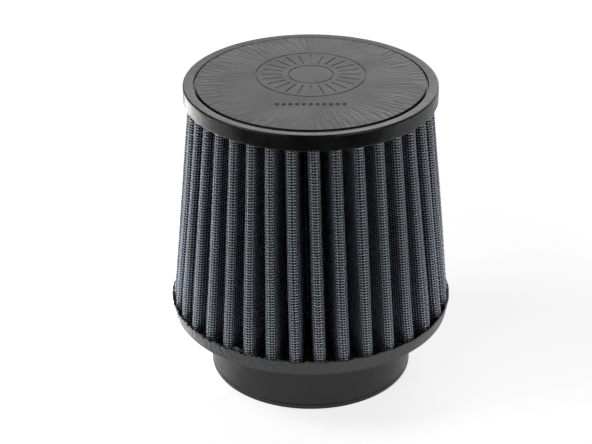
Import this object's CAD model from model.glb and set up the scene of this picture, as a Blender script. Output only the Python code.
import math
import bpy
import numpy as np
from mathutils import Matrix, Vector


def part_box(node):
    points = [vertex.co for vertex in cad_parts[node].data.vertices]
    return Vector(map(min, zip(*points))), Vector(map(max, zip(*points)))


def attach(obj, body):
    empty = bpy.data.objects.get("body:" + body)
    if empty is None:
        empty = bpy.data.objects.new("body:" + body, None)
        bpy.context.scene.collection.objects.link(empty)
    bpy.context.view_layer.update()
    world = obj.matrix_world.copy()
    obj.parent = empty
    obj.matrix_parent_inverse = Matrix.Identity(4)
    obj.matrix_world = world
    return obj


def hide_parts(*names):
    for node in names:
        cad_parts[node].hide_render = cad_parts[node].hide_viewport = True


# Tapered pod air filter standing on its neck. Sizes are in millimetres until a mesh is made.
# Materials, the stage, the lights and the camera are in metres.
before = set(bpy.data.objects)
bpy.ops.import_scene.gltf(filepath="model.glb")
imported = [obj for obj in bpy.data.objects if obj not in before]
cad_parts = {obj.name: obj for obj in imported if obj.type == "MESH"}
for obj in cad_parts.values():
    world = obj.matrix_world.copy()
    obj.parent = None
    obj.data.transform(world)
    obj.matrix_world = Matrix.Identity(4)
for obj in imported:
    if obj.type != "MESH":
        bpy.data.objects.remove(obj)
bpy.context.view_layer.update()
MM = 0.001

# --- sizes shared with the CAD model -----------------------------------------------------------

BORE_R = 50.8
NECK_R = 55.2
BORE_LENGTH = 38.5
STOP_R = 48.3
FLANGE_BOTTOM_Z = 34.65
FLANGE_BOTTOM_R = 74.76
FLANGE_LIP_R = 76.2
LIP_INNER_R = 75.35
POTTING_FLOOR_Z = 41.8
TROUGH_Z = 39.6
TROUGH_INNER_R = 62.0
TROUGH_SLOPE = 3.0
NECK_FILLET = 2.0
EDGE_ROUND = 0.8
WITNESS_Z = 3.0
WITNESS_DEPTH = 0.25
WITNESS_HEIGHT = 0.5

CAP_R = 66.26
CAP_EDGE_ROUND = 0.7
CAP_DISH = 0.25
RECESS_R = 60.9
RECESS_DEPTH = 1.5
RECESS_BEVEL = 0.4

PLEAT_COUNT = 36
FIRST_CREST_DEG = -86.3
SEAM_AFTER_CREST = 17
FOOT_Z = 37.5
HEAD_Z = 163.0
CREST_R_AT_FOOT = 74.2
CREST_R_AT_LIP = 75.3
CREST_R_AT_CAP = 64.0
VALLEY_R_AT_LIP = 54.0
VALLEY_R_AT_CAP = 42.8
CREST_ROUND_AT_LIP = 3.3
CREST_ROUND_AT_CAP = 3.05
VALLEY_ROUND = 0.8
SCREEN_THICKNESS = 0.7
PLY_THICKNESS = 0.22
PLY_COUNT = 4
LAYER_GAP = 0.04
HALF_PITCH = math.pi / PLEAT_COUNT

LIP_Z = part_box("base_flange")[1].z / MM
CAP_BOTTOM_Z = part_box("top_cap")[0].z / MM
CAP_TOP_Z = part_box("top_cap")[1].z / MM
CONE_SLOPE = (CREST_R_AT_LIP - CREST_R_AT_CAP) / (CAP_BOTTOM_Z - LIP_Z)

# Depth below the pack's outer surface at which the strands are laid, the middle of the screen.
STRAND_DEPTH = SCREEN_THICKNESS / 2

# --- how the hand-made pack strays from an even one ----------------------------------------------

# Stretches of pleats that stray round the axis: about which angle in degrees, how sharply they are
# bounded, and by how many degrees they are turned at the foot and at the head.
PLEAT_SHIFTS = ((-98, 8, 0.0, -2.8), (-15, 20, 5.5, 1.0))

# Between the castings the pleats also sway by an angle in radians and swell by a radius. Each
# casting holds them over the height PLEAT_GRIP.
PLEAT_SWAY = 0.0030
PLEAT_SWELL = 0.16
PLEAT_GRIP = 12

# --- woven screen --------------------------------------------------------------------------------

UPRIGHT_PITCH = 25.4 / 16
ROW_PITCH = 25.4 / 17
UPRIGHT_WIDTH = 0.36
CROSSWISE_WIDTH = 0.50
UPRIGHT_SINK = 0.20
STRAND_THICKNESS = 0.36
STRAND_SIDES = 6
WEAVE_HEIGHT = 0.14
NORMAL_REACH = 0.3
ROWS_FROM_Z = FOOT_Z + 2.5
ROWS_TO_Z = HEAD_Z + 0.5
PANEL_PLEATS = 2
LENGTH_SAMPLES = 400

# The screen and the sheets stop short of the seam by these shares of a pleat.
SCREEN_SEAM_GAP = 0.045
SHEET_SEAM_GAP = 0.04

# --- folded sheets -------------------------------------------------------------------------------

# Along half a pleat the crest ends and the root begins at these shares, each stretch with its own
# number of steps.
CREST_SHARE = 0.36
ROOT_SHARE = 0.9
CREST_STEPS = 8
FLANK_STEPS = 4
ROOT_STEPS = 5
SHEET_LEVELS = 26
SHEET_BOTTOM_Z = FOOT_Z + 2.2
SHEET_SHARP_DEG = 60


# --- helpers -------------------------------------------------------------------------------------

# The most by which a wave's phase drifts per millimetre of height, in radians.
WAVE_DRIFT = 0.05


def wave_noise(angle, height, seed, fewest, most, waves=14):
    """Smooth noise of about -1 to 1 that closes on itself round the axis and drifts with height.

    It is a sum of waves, each with between fewest and most periods round the axis.
    """
    rng = np.random.RandomState(seed)
    periods = rng.randint(fewest, most + 1, waves)
    phases = rng.uniform(0, 2 * math.pi, waves)
    drifts = rng.uniform(-WAVE_DRIFT, WAVE_DRIFT, waves)
    total = 0.0
    for period, phase, drift in zip(periods, phases, drifts):
        total = total + np.sin(period * angle + phase + drift * height)
    return total / math.sqrt(waves)


def add_mesh(name, points, quads, material, sharp_deg=None):
    """Makes an object from points in millimetres and four-cornered faces, and rides it on the body."""
    mesh = bpy.data.meshes.new(name)
    quads = np.asarray(quads, np.int32)
    mesh.vertices.add(len(points))
    mesh.vertices.foreach_set("co", (np.asarray(points, np.float32) * MM).ravel())
    mesh.loops.add(quads.size)
    mesh.loops.foreach_set("vertex_index", quads.ravel())
    mesh.polygons.add(len(quads))
    mesh.polygons.foreach_set("loop_start", np.arange(0, quads.size, 4, dtype=np.int32))
    mesh.polygons.foreach_set("use_smooth", np.ones(len(quads), bool))
    mesh.update(calc_edges=True)
    mesh.validate()
    if sharp_deg is not None:
        mesh.set_sharp_from_angle(angle=math.radians(sharp_deg))
    mesh.materials.append(material)
    obj = bpy.data.objects.new(name, mesh)
    bpy.context.scene.collection.objects.link(obj)
    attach(obj, "root")
    return obj


def grid_quads(rows, columns, first=0, wrap_rows=False, wrap_columns=False):
    """Faces of a grid of points stored row by row, optionally joined into a tube or a ring."""
    row_count = rows if wrap_rows else rows - 1
    column_count = columns if wrap_columns else columns - 1
    r, c = np.meshgrid(np.arange(row_count), np.arange(column_count), indexing="ij")
    r_next = (r + 1) % rows
    c_next = (c + 1) % columns
    corners = [r * columns + c, r_next * columns + c, r_next * columns + c_next, r * columns + c_next]
    return first + np.stack(corners, -1).reshape(-1, 4)


def arc(centre_r, centre_z, radius, start_deg, end_deg, steps=5):
    """Points of an arc in the (radius, height) plane."""
    angles = np.radians(np.linspace(start_deg, end_deg, steps + 1))
    return [(centre_r + radius * math.cos(a), centre_z + radius * math.sin(a)) for a in angles]


def line(start, end, steps):
    """Points from start up to, but not including, end."""
    shares = np.arange(steps) / steps
    return [(start[0] + (end[0] - start[0]) * s, start[1] + (end[1] - start[1]) * s) for s in shares]


LATHE_SHARP_DEG = 35

# An outline has a point this far past a corner, so that the long face beyond it stays flat.
SUPPORT = 1


def lathe(name, outline, material, segments, shape):
    """Turns a closed (radius, height) outline about Z. shape(angle, r, z) moves the points."""
    outline = np.array(outline)
    angle = np.linspace(0, 2 * math.pi, segments, endpoint=False)[:, None]
    r = np.broadcast_to(outline[:, 0], (segments, len(outline)))
    z = np.broadcast_to(outline[:, 1], (segments, len(outline)))
    r, z = shape(angle, r, z)
    points = np.stack([r * np.cos(angle), r * np.sin(angle), z], -1).reshape(-1, 3)
    quads = grid_quads(segments, len(outline), wrap_rows=True, wrap_columns=True)
    return add_mesh(name, points, quads, material, LATHE_SHARP_DEG)


def nearness(angle, centre_deg, sharpness):
    """1 at an angle round the axis, falling smoothly to 0 on the other side."""
    return ((1 + np.cos(angle - math.radians(centre_deg))) / 2) ** sharpness


# --- the pleated pack ----------------------------------------------------------------------------

def between_lip_and_cap(at_lip, at_cap, z):
    """A size that changes evenly from the flange's lip to the cap's underside."""
    return at_lip + (at_cap - at_lip) * (z - LIP_Z) / (CAP_BOTTOM_Z - LIP_Z)


def crest_radius(z):
    """Radius of the pleat crests, drawn in a little where they are cast into the base."""
    taper = between_lip_and_cap(CREST_R_AT_LIP, CREST_R_AT_CAP, z)
    foot = CREST_R_AT_FOOT + (CREST_R_AT_LIP - CREST_R_AT_FOOT) * (z - FOOT_Z) / (LIP_Z - FOOT_Z)
    return np.where(z < LIP_Z, foot, taper)


def pleat_shift(angle, z):
    """Angle by which the pleats have strayed from even spacing, in radians."""
    share = np.clip((z - LIP_Z) / (CAP_BOTTOM_Z - LIP_Z), 0, 1)
    total = 0.0
    for centre, sharpness, at_foot, at_head in PLEAT_SHIFTS:
        turned = np.radians(at_foot + (at_head - at_foot) * share)
        total = total + nearness(angle, centre, sharpness) * turned
    return total


def crest_wave(angle, z):
    """Wave round the axis that is 1 at every crest and -1 in every valley."""
    first_crest = math.radians(FIRST_CREST_DEG)
    return np.cos(PLEAT_COUNT * (angle - pleat_shift(angle, z) - first_crest))


def half_pleat(share, z):
    """Point on the pack's outer surface and its outward normal, in the crest's own frame.

    share runs from 0 at the crest's top to 1 at the root's bottom, evenly along the sheet.
    Returns x, y, normal x and normal y, with the crest on +X.
    """
    crest_round = between_lip_and_cap(CREST_ROUND_AT_LIP, CREST_ROUND_AT_CAP, z)
    valley = between_lip_and_cap(VALLEY_R_AT_LIP, VALLEY_R_AT_CAP, z) + VALLEY_ROUND
    crest_x = crest_radius(z) - crest_round
    root_x = valley * math.cos(HALF_PITCH)
    root_y = valley * math.sin(HALF_PITCH)
    span = np.hypot(crest_x - root_x, root_y)
    reach = crest_round + VALLEY_ROUND
    lean = np.arctan2(root_y, crest_x - root_x) - np.arcsin(reach / span)
    crest_sweep = math.pi / 2 - lean
    root_sweep = math.pi / 2 - lean - HALF_PITCH
    crest_arc = (crest_round - STRAND_DEPTH) * crest_sweep
    root_arc = (VALLEY_ROUND + STRAND_DEPTH) * root_sweep
    flank = np.sqrt(span**2 - reach**2)
    along = share * (crest_arc + flank + root_arc)
    on_crest = np.clip(along / crest_arc, 0, 1)
    on_flank = np.clip((along - crest_arc) / flank, 0, 1)
    on_root = np.clip((along - crest_arc - flank) / root_arc, 0, 1)
    turn = crest_sweep * on_crest - root_sweep * on_root
    normal_x = np.cos(turn)
    normal_y = np.sin(turn)
    crest_point = (crest_x + crest_round * normal_x, crest_round * normal_y)
    root_point = (root_x - VALLEY_ROUND * normal_x, root_y - VALLEY_ROUND * normal_y)
    x = crest_point[0] + (root_point[0] - crest_point[0]) * on_flank
    y = crest_point[1] + (root_point[1] - crest_point[1]) * on_flank
    return x, y, normal_x, normal_y


def pack_surface(position, z, depth):
    """Points at a depth in the pack. position counts pleats along the strip from the seam."""
    crest = np.floor(position)
    offset = 2 * (position - crest) - 1
    side = np.where(offset < 0, -1.0, 1.0)
    x, y, normal_x, normal_y = half_pleat(np.abs(offset), z)
    x = x - depth * normal_x
    y = (y - depth * normal_y) * side
    angle = math.radians(FIRST_CREST_DEG) + 2 * HALF_PITCH * (crest + SEAM_AFTER_CREST + 1)
    radius = np.hypot(x, y)
    angle = angle + np.arctan2(y, x)
    angle = angle + pleat_shift(angle, z)
    drop = (crest_radius(z) - radius) * CONE_SLOPE
    height = z - drop
    free_of_base = np.clip((z - LIP_Z) / PLEAT_GRIP, 0, 1)
    free_of_cap = np.clip((CAP_BOTTOM_Z - z) / PLEAT_GRIP, 0, 1)
    loose = free_of_base * free_of_cap
    angle = angle + loose * PLEAT_SWAY * wave_noise(angle, z, seed=11, fewest=7, most=41)
    radius = radius + loose * PLEAT_SWELL * wave_noise(angle, z, seed=12, fewest=5, most=37)
    return np.stack([radius * np.cos(angle), radius * np.sin(angle), height], -1)


def unit(vectors):
    """The same directions with a length of 1."""
    return vectors / np.linalg.norm(vectors, axis=-1, keepdims=True)


def strand_rings(position, z, run_axis, lift):
    """Centres and directions of the rings along a family of strands laid in the screen.

    run_axis is the axis of the arrays along which a strand runs. The result has a row per strand.
    """
    centre = pack_surface(position, z, STRAND_DEPTH)
    outer = pack_surface(position, z, STRAND_DEPTH - NORMAL_REACH)
    normal = unit(outer - centre)
    centre = centre + normal * lift[..., None]
    along = np.gradient(centre, axis=run_axis)
    sideways = unit(np.cross(along, normal))
    if run_axis == 0:
        return centre.transpose(1, 0, 2), normal.transpose(1, 0, 2), sideways.transpose(1, 0, 2)
    return centre, normal, sideways


def tube_mesh(centre, normal, sideways, width):
    """Points and faces of flattened tubes through rows of rings. Two faces close each six-sided end."""
    strands, rings = centre.shape[:2]
    turns = 2 * math.pi * np.arange(STRAND_SIDES) / STRAND_SIDES
    wide = (width / 2 * np.cos(turns))[:, None]
    thick = (STRAND_THICKNESS / 2 * np.sin(turns))[:, None]
    points = centre[:, :, None] + sideways[:, :, None] * wide + normal[:, :, None] * thick
    ring_quads = grid_quads(rings, STRAND_SIDES, wrap_columns=True)
    ends = np.array([[3, 2, 1, 0], [0, 5, 4, 3]])
    last = (rings - 1) * STRAND_SIDES
    quads = np.concatenate([ring_quads, ends, last + ends[:, ::-1]])
    starts = np.arange(strands) * rings * STRAND_SIDES
    return points.reshape(-1, 3), (quads[None] + starts[:, None, None]).reshape(-1, 4)


def make_screen():
    """Plain weave of flattened strands over the whole folded sheet, in panels of a few pleats.

    An upright has a ring at each crossing. A crosswise strand also has one between crossings, and
    runs on to the first upright of the next panel.
    """
    x, y, _, _ = half_pleat(np.linspace(0, 1, LENGTH_SAMPLES), np.full(LENGTH_SAMPLES, LIP_Z))
    pleat_length = 2 * np.hypot(np.diff(x), np.diff(y)).sum()
    step = UPRIGHT_PITCH / pleat_length
    upright_at = np.arange(SCREEN_SEAM_GAP, PLEAT_COUNT - SCREEN_SEAM_GAP, step)
    rows_at = np.arange(ROWS_FROM_Z, ROWS_TO_Z, ROW_PITCH)
    rows = np.arange(len(rows_at))
    panels = PLEAT_COUNT // PANEL_PLEATS
    panel_starts = np.searchsorted(upright_at, np.arange(panels + 1) * PANEL_PLEATS)
    for panel in range(panels):
        first, last = panel_starts[panel], panel_starts[panel + 1]
        index = np.arange(first, last)
        over = 1 - 2 * ((index[None, :] + rows[:, None]) % 2)
        z = np.repeat(rows_at[:, None], len(index), 1)
        position = np.repeat(upright_at[None, index], len(rows_at), 0)
        uprights = strand_rings(position, z, 0, -WEAVE_HEIGHT * over - UPRIGHT_SINK)
        stop = min(last, len(upright_at) - 1)
        halves = np.arange(2 * first, 2 * stop + 1)
        at = np.interp(halves / 2, np.arange(len(upright_at)), upright_at)
        lift = np.cos(math.pi * (halves[None, :] / 2 + rows[:, None]))
        z = np.repeat(rows_at[:, None], len(at), 1)
        position = np.repeat(at[None, :], len(rows_at), 0)
        crosswise = strand_rings(position, z, 1, WEAVE_HEIGHT * lift)
        upright_points, upright_quads = tube_mesh(*uprights, UPRIGHT_WIDTH)
        crosswise_points, crosswise_quads = tube_mesh(*crosswise, CROSSWISE_WIDTH)
        points = np.concatenate([upright_points, crosswise_points])
        quads = np.concatenate([upright_quads, crosswise_quads + len(upright_points)])
        obj = add_mesh(f"outer_screen_panel_{panel + 1:02d}", points, quads, wire_material)
        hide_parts("outer_screen")


def make_layer(name, outer_depth, thickness, material):
    """One folded sheet of the pack as a closed shell."""
    half = np.concatenate([
        np.linspace(0, CREST_SHARE, CREST_STEPS, endpoint=False),
        np.linspace(CREST_SHARE, ROOT_SHARE, FLANK_STEPS, endpoint=False),
        np.linspace(ROOT_SHARE, 1, ROOT_STEPS + 1),
    ])
    pleat = np.concatenate([0.5 - half[::-1] / 2, 0.5 + half[1:] / 2])
    position = np.unique(np.concatenate([i + pleat for i in range(PLEAT_COUNT)]).round(9))
    position = position[(position >= SHEET_SEAM_GAP) & (position <= PLEAT_COUNT - SHEET_SEAM_GAP)]
    z = np.linspace(FOOT_Z, HEAD_Z, SHEET_LEVELS)
    z[0] = SHEET_BOTTOM_Z
    p, h = np.meshgrid(position, z, indexing="ij")
    outer = pack_surface(p, h, outer_depth).reshape(-1, 3)
    inner = pack_surface(p, h, outer_depth + thickness).reshape(-1, 3)
    rows = len(position)
    columns = len(z)
    outer_quads = grid_quads(rows, columns)
    inner_quads = grid_quads(rows, columns, first=len(outer))[:, ::-1]
    rim = np.concatenate([
        np.arange(rows) * columns,
        (rows - 1) * columns + np.arange(1, columns),
        np.arange(rows - 2, -1, -1) * columns + columns - 1,
        np.arange(columns - 2, 0, -1),
    ])
    rim_next = np.roll(rim, -1)
    rim_quads = np.stack([rim, rim + len(outer), rim_next + len(outer), rim_next], -1)
    quads = np.concatenate([outer_quads, inner_quads, rim_quads])
    obj = add_mesh(name, np.concatenate([outer, inner]), quads, material, SHEET_SHARP_DEG)
    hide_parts(name.replace("_sheet", ""))


# --- materials -----------------------------------------------------------------------------------

def new_material(name, color, roughness, specular=0.5):
    """Principled material, with its node tree and its shader."""
    material = bpy.data.materials.new(name)
    material.use_nodes = True
    shader = material.node_tree.nodes["Principled BSDF"]
    shader.inputs["Base Color"].default_value = (*color, 1)
    shader.inputs["Roughness"].default_value = roughness
    shader.inputs["Specular IOR Level"].default_value = specular
    return material, material.node_tree, shader


def object_point(tree):
    """The object's own coordinates, which are in metres."""
    return tree.nodes.new("ShaderNodeTexCoord").outputs["Object"]


def add_noise(tree, scale, detail=4.0):
    """Noise over the object's own coordinates."""
    noise = tree.nodes.new("ShaderNodeTexNoise")
    noise.inputs["Scale"].default_value = scale
    noise.inputs["Detail"].default_value = detail
    tree.links.new(object_point(tree), noise.inputs["Vector"])
    return noise.outputs["Fac"]


def map_range(tree, value, low, high, from_low=0.35, from_high=0.65):
    """Runs from low to high. Without from_low and from_high it spans most of a noise's range."""
    node = tree.nodes.new("ShaderNodeMapRange")
    node.inputs["From Min"].default_value = from_low
    node.inputs["From Max"].default_value = from_high
    node.inputs["To Min"].default_value = low
    node.inputs["To Max"].default_value = high
    tree.links.new(value, node.inputs["Value"])
    return node.outputs["Result"]


def mix_color(tree, factor, dark, light):
    """Colour that runs from dark to light as the factor runs from 0 to 1."""
    node = tree.nodes.new("ShaderNodeMix")
    node.data_type = "RGBA"
    node.inputs["A"].default_value = (*dark, 1)
    node.inputs["B"].default_value = (*light, 1)
    tree.links.new(factor, node.inputs["Factor"])
    return node.outputs["Result"]


def add_bump(tree, shader, height, distance, below=None):
    """Bump on the shader, on top of the bump below it. distance is its full height in metres."""
    node = tree.nodes.new("ShaderNodeBump")
    node.inputs["Distance"].default_value = distance
    tree.links.new(height, node.inputs["Height"])
    if below is not None:
        tree.links.new(below, node.inputs["Normal"])
    tree.links.new(node.outputs["Normal"], shader.inputs["Normal"])
    return node.outputs["Normal"]


# Height in metres over which a dusty skin sets in.
DUST_EDGE = 0.0005


def make_rubber(name, least_roughness, most_roughness, specular, dusty_from=None):
    """Black cast polyurethane with an uneven gloss, a gentle swell and a fine grain.

    dusty_from is the height in metres from which the skin is paler. Without it the skin is
    mottled instead.
    """
    material, tree, shader = new_material(name, (0.01, 0.01, 0.01), most_roughness, specular)
    mottle = add_noise(tree, scale=90)
    grain = add_noise(tree, scale=2200, detail=2)
    swell = add_noise(tree, scale=160, detail=3)
    if dusty_from is None:
        mottled = map_range(tree, mottle, 0, 1)
        colour = mix_color(tree, mottled, dark=(0.007, 0.007, 0.0072), light=(0.013, 0.013, 0.013))
    else:
        axes = tree.nodes.new("ShaderNodeSeparateXYZ")
        tree.links.new(object_point(tree), axes.inputs["Vector"])
        dusty = map_range(tree, axes.outputs["Z"], 0, 1, dusty_from, dusty_from + DUST_EDGE)
        colour = mix_color(tree, dusty, dark=(0.01, 0.01, 0.01), light=(0.05, 0.05, 0.05))
    tree.links.new(colour, shader.inputs["Base Color"])
    roughness = map_range(tree, mottle, least_roughness, most_roughness)
    tree.links.new(roughness, shader.inputs["Roughness"])
    below = add_bump(tree, shader, swell, distance=0.00012)
    add_bump(tree, shader, grain, distance=0.00003, below=below)
    return material


# The ripples grow from nothing to full between two radii in metres.
RIPPLE_SCALE = 24
RIPPLE_WANDER = 4.0
RIPPLES_FULL_AT = 0.060
RIPPLES_NONE_AT = 0.030


def add_ripples(tree):
    """Noise that runs out from the axis as slightly wandering rays, and fades towards the centre."""
    nodes, links = tree.nodes, tree.links
    flat = nodes.new("ShaderNodeVectorMath")
    flat.operation = "MULTIPLY"
    flat.inputs[1].default_value = (1, 1, 0)
    direction = nodes.new("ShaderNodeVectorMath")
    direction.operation = "NORMALIZE"
    wander = nodes.new("ShaderNodeVectorMath")
    wander.operation = "MULTIPLY_ADD"
    wander.inputs[1].default_value = (RIPPLE_WANDER, RIPPLE_WANDER, 0)
    radius = nodes.new("ShaderNodeVectorMath")
    radius.operation = "LENGTH"
    noise = nodes.new("ShaderNodeTexNoise")
    noise.inputs["Scale"].default_value = RIPPLE_SCALE
    noise.inputs["Detail"].default_value = 3
    strength = nodes.new("ShaderNodeMath")
    strength.operation = "MULTIPLY"
    links.new(object_point(tree), flat.inputs[0])
    links.new(flat.outputs["Vector"], direction.inputs[0])
    links.new(flat.outputs["Vector"], radius.inputs[0])
    links.new(flat.outputs["Vector"], wander.inputs[0])
    links.new(direction.outputs["Vector"], wander.inputs[2])
    links.new(wander.outputs["Vector"], noise.inputs["Vector"])
    fade = map_range(tree, radius.outputs["Value"], 0, 1, RIPPLES_NONE_AT, RIPPLES_FULL_AT)
    links.new(noise.outputs["Fac"], strength.inputs[0])
    links.new(fade, strength.inputs[1])
    return strength.outputs["Value"]


def make_plate_finish():
    """Satin black plastic with faint ripples that run out from the centre."""
    material, tree, shader = new_material("plate_satin", (0.05, 0.05, 0.048), 0.42)
    mottle = add_noise(tree, scale=60)
    grain = add_noise(tree, scale=3000, detail=2)
    mottled = map_range(tree, mottle, 0, 1)
    colour = mix_color(tree, mottled, dark=(0.017, 0.0165, 0.0155), light=(0.025, 0.024, 0.0225))
    tree.links.new(colour, shader.inputs["Base Color"])
    tree.links.new(map_range(tree, mottle, low=0.38, high=0.44), shader.inputs["Roughness"])
    below = add_bump(tree, shader, add_ripples(tree), distance=0.00045)
    add_bump(tree, shader, grain, distance=0.00002, below=below)
    return material


def make_gauze():
    """Matt black gauze with a fine fuzz."""
    material, tree, shader = new_material("black_gauze", (0.006, 0.006, 0.007), 0.9, specular=0.2)
    fuzz = add_noise(tree, scale=3500, detail=3)
    fuzzy = map_range(tree, fuzz, 0, 1)
    colour = mix_color(tree, fuzzy, dark=(0.003, 0.003, 0.0035), light=(0.008, 0.008, 0.009))
    tree.links.new(colour, shader.inputs["Base Color"])
    add_bump(tree, shader, fuzz, distance=0.0001)
    return material


def make_metal(name, color, roughness, metallic, specular=0.5):
    """Bare or thinly coated metal."""
    material, _, shader = new_material(name, color, roughness, specular)
    shader.inputs["Metallic"].default_value = metallic
    return material


cap_material = make_rubber("cap_rubber", least_roughness=0.22, most_roughness=0.30, specular=0.42)
flange_material = make_rubber(
    "flange_rubber",
    least_roughness=0.25,
    most_roughness=0.36,
    specular=0.5,
    dusty_from=(FLANGE_BOTTOM_Z + EDGE_ROUND) * MM,
)
plate_material = make_plate_finish()
gauze_material = make_gauze()
wire_material = make_metal(
    "coated_strand", (0.53, 0.575, 0.645), roughness=0.30, metallic=0.9, specular=0.8
)
clip_material = make_metal("clip_metal", (0.55, 0.56, 0.57), roughness=0.35, metallic=1.0)


# --- base flange ---------------------------------------------------------------------------------

# The flange is roughest about one angle. Each unevenness has its size on the good side and what is
# added to it on the rough side.
ROUGH_SIDE_DEG = -140
ROUGH_SIDE_SHARPNESS = 3
LIP_ROUGH_HEIGHT = (0.06, 0.50)
LIP_ROUGH_RADIUS = (0.04, 0.22)
LIP_SCALLOP = (0.08, 0.26)
SIDE_LUMPS = (0.01, 0.11)
LIP_SWELL = 0.10
SIDE_LUMP_DRIFT = 50

# The lip is ragged over its top RAGGED_HEIGHT. The side's lumps begin LUMPS_FROM above the flange's
# underside and grow over LUMPS_GROW_OVER. The stop and a ring of the floor round it stay smooth.
RAGGED_HEIGHT = 1.6
LUMPS_FROM = 1
LUMPS_GROW_OVER = 3
SMOOTH_PAST_STOP = 5
SKIN_MARGIN = 0.1

FLANGE_SEGMENTS = 1296
LIP_ROUND = 0.25
LIP_INNER_WIDTH = 0.15
LIP_INNER_DROP = 0.2
SIDE_FROM_R = FLANGE_BOTTOM_R + 0.2
SIDE_FROM_Z = 36.2


def flange_shape(angle, r, z):
    """Ragged flash along the lip, worst on one side, and lumps in the skin below it.

    The lip is scalloped: it stands higher between the crests.
    """
    beyond_stop = r > STOP_R + SMOOTH_PAST_STOP
    at_lip = np.clip((z - (LIP_Z - RAGGED_HEIGHT)) / RAGGED_HEIGHT, 0, 1) * beyond_stop
    outer_side = r > FLANGE_BOTTOM_R - SKIN_MARGIN
    on_side = np.clip((z - FLANGE_BOTTOM_Z - LUMPS_FROM) / LUMPS_GROW_OVER, 0, 1) * outer_side
    worst = nearness(angle, ROUGH_SIDE_DEG, ROUGH_SIDE_SHARPNESS)

    def size(good_and_extra):
        good, extra = good_and_extra
        return good + extra * worst

    rough = wave_noise(angle, 0, seed=21, fewest=40, most=240, waves=40)
    swell = wave_noise(angle, 0, seed=22, fewest=5, most=40)
    out_and_in = wave_noise(angle, 0, seed=23, fewest=40, most=240, waves=30)
    z = z + at_lip * size(LIP_ROUGH_HEIGHT) * rough + at_lip * LIP_SWELL * swell
    z = z - at_lip * size(LIP_SCALLOP) * crest_wave(angle, LIP_Z)
    lumps = wave_noise(angle, SIDE_LUMP_DRIFT * z, seed=24, fewest=20, most=150, waves=40)
    r = r + at_lip * size(LIP_ROUGH_RADIUS) * out_and_in
    r = r + on_side * size(SIDE_LUMPS) * lumps
    return r, z


def make_base_flange():
    """Neck, flange, raised lip, trough for the pleats and stop for the pipe, as one casting."""
    underside_inner = (NECK_R + 2 * NECK_FILLET, FLANGE_BOTTOM_Z)
    lip_corner_z = LIP_Z - LIP_ROUND
    trough_inner = (TROUGH_INNER_R, TROUGH_Z)
    floor_outer = (TROUGH_INNER_R - TROUGH_SLOPE, POTTING_FLOOR_Z)
    outline = (
        arc(BORE_R + EDGE_ROUND, EDGE_ROUND, EDGE_ROUND, 180, 270)
        + arc(NECK_R - EDGE_ROUND, EDGE_ROUND, EDGE_ROUND, 270, 360)
        + [(NECK_R, WITNESS_Z - WITNESS_HEIGHT / 2), (NECK_R - WITNESS_DEPTH, WITNESS_Z)]
        + [(NECK_R, WITNESS_Z + WITNESS_HEIGHT / 2)]
        + line((NECK_R, WITNESS_Z + 2 * SUPPORT), (NECK_R, FLANGE_BOTTOM_Z - NECK_FILLET), 2)
        + arc(NECK_R + NECK_FILLET, FLANGE_BOTTOM_Z - NECK_FILLET, NECK_FILLET, 180, 90)
        + line(underside_inner, (FLANGE_BOTTOM_R - EDGE_ROUND, FLANGE_BOTTOM_Z), 5)
        + arc(FLANGE_BOTTOM_R - EDGE_ROUND, FLANGE_BOTTOM_Z + EDGE_ROUND, EDGE_ROUND, 270, 351)
        + line((SIDE_FROM_R, SIDE_FROM_Z), (FLANGE_LIP_R, lip_corner_z), 12)
        + arc(FLANGE_LIP_R - LIP_ROUND, lip_corner_z, LIP_ROUND, 0, 90, 3)
        + [(LIP_INNER_R + LIP_INNER_WIDTH, LIP_Z), (LIP_INNER_R, LIP_Z - LIP_INNER_DROP)]
        + [(LIP_INNER_R, TROUGH_Z)]
        + line((LIP_INNER_R - SUPPORT, TROUGH_Z), trough_inner, 4)
        + line(trough_inner, floor_outer, 3)
        + line(floor_outer, (STOP_R, POTTING_FLOOR_Z), 4)
        + [(STOP_R, POTTING_FLOOR_Z), (STOP_R, BORE_LENGTH), (BORE_R, BORE_LENGTH)]
        + line((BORE_R, BORE_LENGTH - SUPPORT), (BORE_R, EDGE_ROUND), 6)
    )
    obj = lathe("base_flange_casting", outline, flange_material, FLANGE_SEGMENTS, flange_shape)
    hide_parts("base_flange")


FLASH_DEG = -120.7
FLASH_LENGTH = 8.0
FLASH_RISE = 1.3
FLASH_HALF_DEPTH = 0.8
FLASH_HALF_THICKNESS = 0.2
FLASH_LEAN = 0.5
FLASH_INSET = 0.9
FLASH_SPREAD = 0.5
FLASH_SINK = 0.1
FLASH_TAPER = 0.6


def make_lip_flash():
    """Thin curl of flash torn up from the flange's lip, leaning in between two pleats."""
    along = np.linspace(0, 1, 25)[:, None]
    across = np.linspace(0, 2 * math.pi, 10, endpoint=False)[None, :]
    bulge = np.sin(math.pi * along) ** FLASH_TAPER
    depth = bulge * np.cos(across)
    angle = math.radians(FLASH_DEG) + (along - 0.5) * FLASH_LENGTH / LIP_INNER_R
    r = LIP_INNER_R - FLASH_INSET + FLASH_SPREAD * along + FLASH_HALF_DEPTH * depth
    rise = FLASH_RISE * bulge + FLASH_HALF_THICKNESS * bulge * np.sin(across)
    z = LIP_Z - FLASH_SINK + rise - FLASH_LEAN * depth
    points = np.stack([r * np.cos(angle), r * np.sin(angle), z], -1).reshape(-1, 3)
    quads = grid_quads(len(along), across.shape[1], wrap_columns=True)
    obj = add_mesh("base_flange_flash", points, quads, flange_material)
    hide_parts("base_flange")


# --- top cap -------------------------------------------------------------------------------------

CAP_SEGMENTS = 1080
CAP_FOOT_ROUND = 0.5
FLOOR_ROUND = 0.15

# The lathe's outline stops just short of the axis, so that every face keeps four corners.
AXIS_R = 0.01

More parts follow.
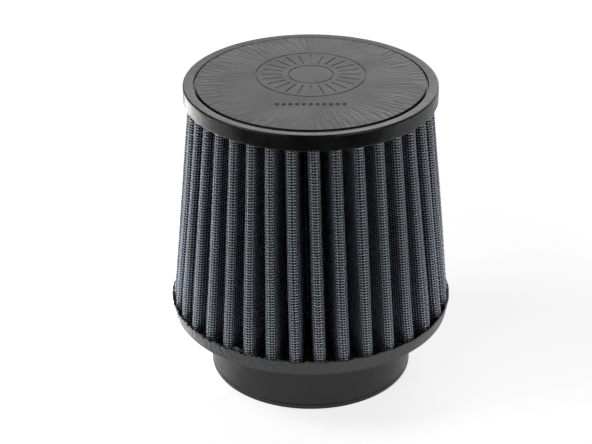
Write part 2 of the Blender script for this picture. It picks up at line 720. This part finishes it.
# The lower edge is uneven over CAP_RAGGED_HEIGHT, outside the radius CAP_SMOOTH_R.
CAP_RAGGED_HEIGHT = 2
CAP_SMOOTH_R = 55
CAP_EDGE_ROUGH = 0.12
CAP_EDGE_SWELL = 0.14
CAP_EDGE_SCALLOP = 0.16
CAP_SIDE_WAVE = 0.015
CAP_SIDE_DRIFT = 12
CAP_SIDE_MARGIN = 1


def cap_shape(angle, r, z):
    """Uneven lower edge where the casting ran between the pleats, and a faintly wavy side."""
    height_share = np.clip((CAP_BOTTOM_Z + CAP_RAGGED_HEIGHT - z) / CAP_RAGGED_HEIGHT, 0, 1)
    at_edge = height_share * (r > CAP_SMOOTH_R)
    on_side = r > CAP_R - CAP_SIDE_MARGIN
    rough = wave_noise(angle, 0, seed=31, fewest=60, most=300, waves=40)
    swell = wave_noise(angle, 0, seed=32, fewest=8, most=60)
    uneven = CAP_EDGE_ROUGH * rough + CAP_EDGE_SWELL * swell
    z = z + at_edge * (uneven + CAP_EDGE_SCALLOP * crest_wave(angle, CAP_BOTTOM_Z))
    wave = wave_noise(angle, CAP_SIDE_DRIFT * z, seed=33, fewest=12, most=70, waves=24)
    r = r + on_side * CAP_SIDE_WAVE * wave
    return r, z


def make_top_cap():
    """Disc with a ring, which dips a little towards its inner edge, round the plate's recess."""
    floor_z = CAP_TOP_Z - RECESS_DEPTH
    shoulder_z = CAP_TOP_Z - CAP_EDGE_ROUND
    foot_r = CAP_R - CAP_FOOT_ROUND
    ring_outer = (CAP_R - CAP_EDGE_ROUND, CAP_TOP_Z)
    ring_inner = (RECESS_R + RECESS_BEVEL, CAP_TOP_Z - CAP_DISH)
    outline = (
        line((AXIS_R, CAP_BOTTOM_Z), (foot_r, CAP_BOTTOM_Z), 14)
        + arc(foot_r, CAP_BOTTOM_Z + CAP_FOOT_ROUND, CAP_FOOT_ROUND, 270, 360, 4)
        + line((CAP_R, CAP_BOTTOM_Z + SUPPORT), (CAP_R, shoulder_z), 6)
        + arc(CAP_R - CAP_EDGE_ROUND, shoulder_z, CAP_EDGE_ROUND, 0, 90, 7)
        + line(ring_outer, ring_inner, 5)[1:]
        + arc(ring_inner[0], ring_inner[1] - RECESS_BEVEL, RECESS_BEVEL, 90, 180, 4)
        + [(RECESS_R, floor_z + FLOOR_ROUND), (RECESS_R - FLOOR_ROUND, floor_z)]
        + line((RECESS_R - 2 * SUPPORT, floor_z), (AXIS_R, floor_z), 4)
        + [(AXIS_R, floor_z)]
    )
    obj = lathe("top_cap_casting", outline, cap_material, CAP_SEGMENTS, cap_shape)
    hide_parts("top_cap")


# --- the filter ----------------------------------------------------------------------------------

make_base_flange()
make_lip_flash()
make_top_cap()
make_screen()
layer_depth = SCREEN_THICKNESS + LAYER_GAP
for ply in range(PLY_COUNT):
    make_layer(f"gauze_ply_{ply + 1}_sheet", layer_depth, PLY_THICKNESS, gauze_material)
    layer_depth += PLY_THICKNESS + LAYER_GAP
make_layer("inner_screen_sheet", layer_depth, SCREEN_THICKNESS, wire_material)

finishes = {
    "top_plate": plate_material,
    "plate_adhesive": gauze_material,
    "seam_sealant": gauze_material,
    "seam_clip": clip_material,
}
for node, material in finishes.items():
    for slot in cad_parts[node].material_slots:
        slot.material = material


# --- stage ---------------------------------------------------------------------------------------

def add_plane(name, size, location):
    """Level rectangle of the stage."""
    mesh = bpy.data.meshes.new(name)
    w, h = size[0] / 2, size[1] / 2
    mesh.from_pydata([(-w, -h, 0), (w, -h, 0), (w, h, 0), (-w, h, 0)], [], [(0, 1, 2, 3)])
    obj = bpy.data.objects.new(name, mesh)
    obj.location = location
    bpy.context.scene.collection.objects.link(obj)
    return obj


FLOOR_GLOW = 0.46
FLOOR_SEEN_GLOW = 0.71
FLOOR_FADE_FROM = 0.20
FLOOR_FADE_TO = 0.70


def make_floor():
    """White floor that glows a little. To the camera it glows more, and fades to white far out."""
    plane = add_plane("floor", (6, 6), (0, 0, 0))
    material, tree, shader = new_material("floor_white", (0.9, 0.9, 0.9), 0.8, specular=0.1)
    nodes, links = tree.nodes, tree.links
    radius = nodes.new("ShaderNodeVectorMath")
    radius.operation = "LENGTH"
    links.new(object_point(tree), radius.inputs[0])
    seen = map_range(
        tree, radius.outputs["Value"], FLOOR_SEEN_GLOW, 1.0, FLOOR_FADE_FROM, FLOOR_FADE_TO
    )
    ray = nodes.new("ShaderNodeLightPath")
    glow = nodes.new("ShaderNodeMix")
    glow.inputs["A"].default_value = FLOOR_GLOW
    links.new(ray.outputs["Is Camera Ray"], glow.inputs["Factor"])
    links.new(seen, glow.inputs["B"])
    shader.inputs["Emission Color"].default_value = (1, 1, 1, 1)
    links.new(glow.outputs["Result"], shader.inputs["Emission Strength"])
    plane.data.materials.append(material)


def make_front_flag():
    """Black card on the floor in front of the filter, which keeps the floor's glow off its front.

    The camera doesn't see it and it casts no shadow.
    """
    card = add_plane("front_flag", (2.4, 1.2), (0, -0.76, 0.002))
    black, _, _ = new_material("front_flag", (0, 0, 0), 1.0, specular=0.0)
    card.data.materials.append(black)
    card.visible_camera = False
    card.visible_shadow = False
    card.visible_transmission = False


WORLD_BACK = 2.8
WORLD_FALLOFF = 6
WORLD_TILT = 0.5
WORLD_TILT_REACH = 0.35


def make_world():
    """White to the camera. As a light it grows towards the back and from left to right."""
    world = bpy.data.worlds.new("studio")
    world.use_nodes = True
    nodes, links = world.node_tree.nodes, world.node_tree.links
    seen = nodes["Background"]
    seen.inputs["Color"].default_value = (1, 1, 1, 1)
    lit = nodes.new("ShaderNodeBackground")
    lit.inputs["Color"].default_value = (1, 1, 1, 1)
    coordinates = nodes.new("ShaderNodeTexCoord")
    axes = nodes.new("ShaderNodeSeparateXYZ")
    backward = nodes.new("ShaderNodeClamp")
    falloff = nodes.new("ShaderNodeMath")
    falloff.operation = "POWER"
    falloff.inputs[1].default_value = WORLD_FALLOFF
    left_strength = WORLD_BACK * (1 - WORLD_TILT)
    right_strength = WORLD_BACK * (1 + WORLD_TILT)
    strength = nodes.new("ShaderNodeMath")
    strength.operation = "MULTIPLY"
    ray = nodes.new("ShaderNodeLightPath")
    mix = nodes.new("ShaderNodeMixShader")
    links.new(coordinates.outputs["Generated"], axes.inputs["Vector"])
    tilt = map_range(
        world.node_tree,
        axes.outputs["X"],
        left_strength,
        right_strength,
        -WORLD_TILT_REACH,
        WORLD_TILT_REACH,
    )
    links.new(axes.outputs["Y"], backward.inputs["Value"])
    links.new(backward.outputs["Result"], falloff.inputs[0])
    links.new(falloff.outputs["Value"], strength.inputs[0])
    links.new(tilt, strength.inputs[1])
    links.new(strength.outputs["Value"], lit.inputs["Strength"])
    links.new(ray.outputs["Is Camera Ray"], mix.inputs["Fac"])
    links.new(lit.outputs["Background"], mix.inputs[1])
    links.new(seen.outputs["Background"], mix.inputs[2])
    links.new(mix.outputs["Shader"], nodes["World Output"].inputs["Surface"])
    bpy.context.scene.world = world


make_floor()
make_front_flag()
make_world()
bpy.context.scene.view_settings.view_transform = "Standard"
bpy.context.scene.cycles.denoising_prefilter = "NONE"


# --- lights --------------------------------------------------------------------------------------

LIGHT_TARGET = (0, 0, 0.1)
SPOT_BLEND = 0.6


def aim_light(data, location, target):
    """Puts a light in the scene, pointing at a target. The camera doesn't see it."""
    obj = bpy.data.objects.new(data.name, data)
    obj.location = location
    direction = np.array(target) - np.array(location)
    yaw = math.atan2(direction[0], -direction[1])
    flat = math.hypot(direction[0], direction[1])
    pitch = math.atan2(flat, -direction[2])
    obj.rotation_euler = (pitch, 0, yaw + math.pi)
    obj.visible_camera = False
    bpy.context.scene.collection.objects.link(obj)


def add_softbox(name, side, location, power):
    """Square area light turned to the middle of the filter."""
    data = bpy.data.lights.new(name, "AREA")
    data.shape = "SQUARE"
    data.size = side
    data.energy = power
    aim_light(data, location, LIGHT_TARGET)


def add_floor_spot(name, location, target, power, cone_deg):
    """Spot that brightens a patch of the floor, which the black mouldings then reflect."""
    data = bpy.data.lights.new(name, "SPOT")
    data.energy = power
    data.spot_size = math.radians(cone_deg)
    data.spot_blend = SPOT_BLEND
    aim_light(data, location, target)


add_softbox("left_box", side=0.8, location=(-0.80, -0.85, 0.45), power=2.4)
add_softbox("right_box", side=0.8, location=(0.80, -0.85, 0.45), power=4.0)
add_softbox("high_box", side=0.5, location=(-0.8, -0.1, 0.95), power=3.0)
add_floor_spot("left_floor", (-0.50, 0.50, 0.50), target=(-0.27, 0.18, 0), power=62, cone_deg=32)
add_floor_spot("left_near_floor", (-0.45, -0.10, 0.28), target=(-0.10, 0.0, 0), power=5, cone_deg=14)


# --- camera --------------------------------------------------------------------------------------

CAMERA_DOWN_DEG = 28.13

camera_data = bpy.data.cameras.new("camera")
camera_data.sensor_width = 36
camera_data.lens = 101.5
camera_data.shift_x = -0.025
camera = bpy.data.objects.new("camera", camera_data)
camera.location = (0, -0.7958, 0.5098)
camera.rotation_euler = (math.radians(90 - CAMERA_DOWN_DEG), 0, 0)
bpy.context.scene.collection.objects.link(camera)
bpy.context.scene.camera = camera
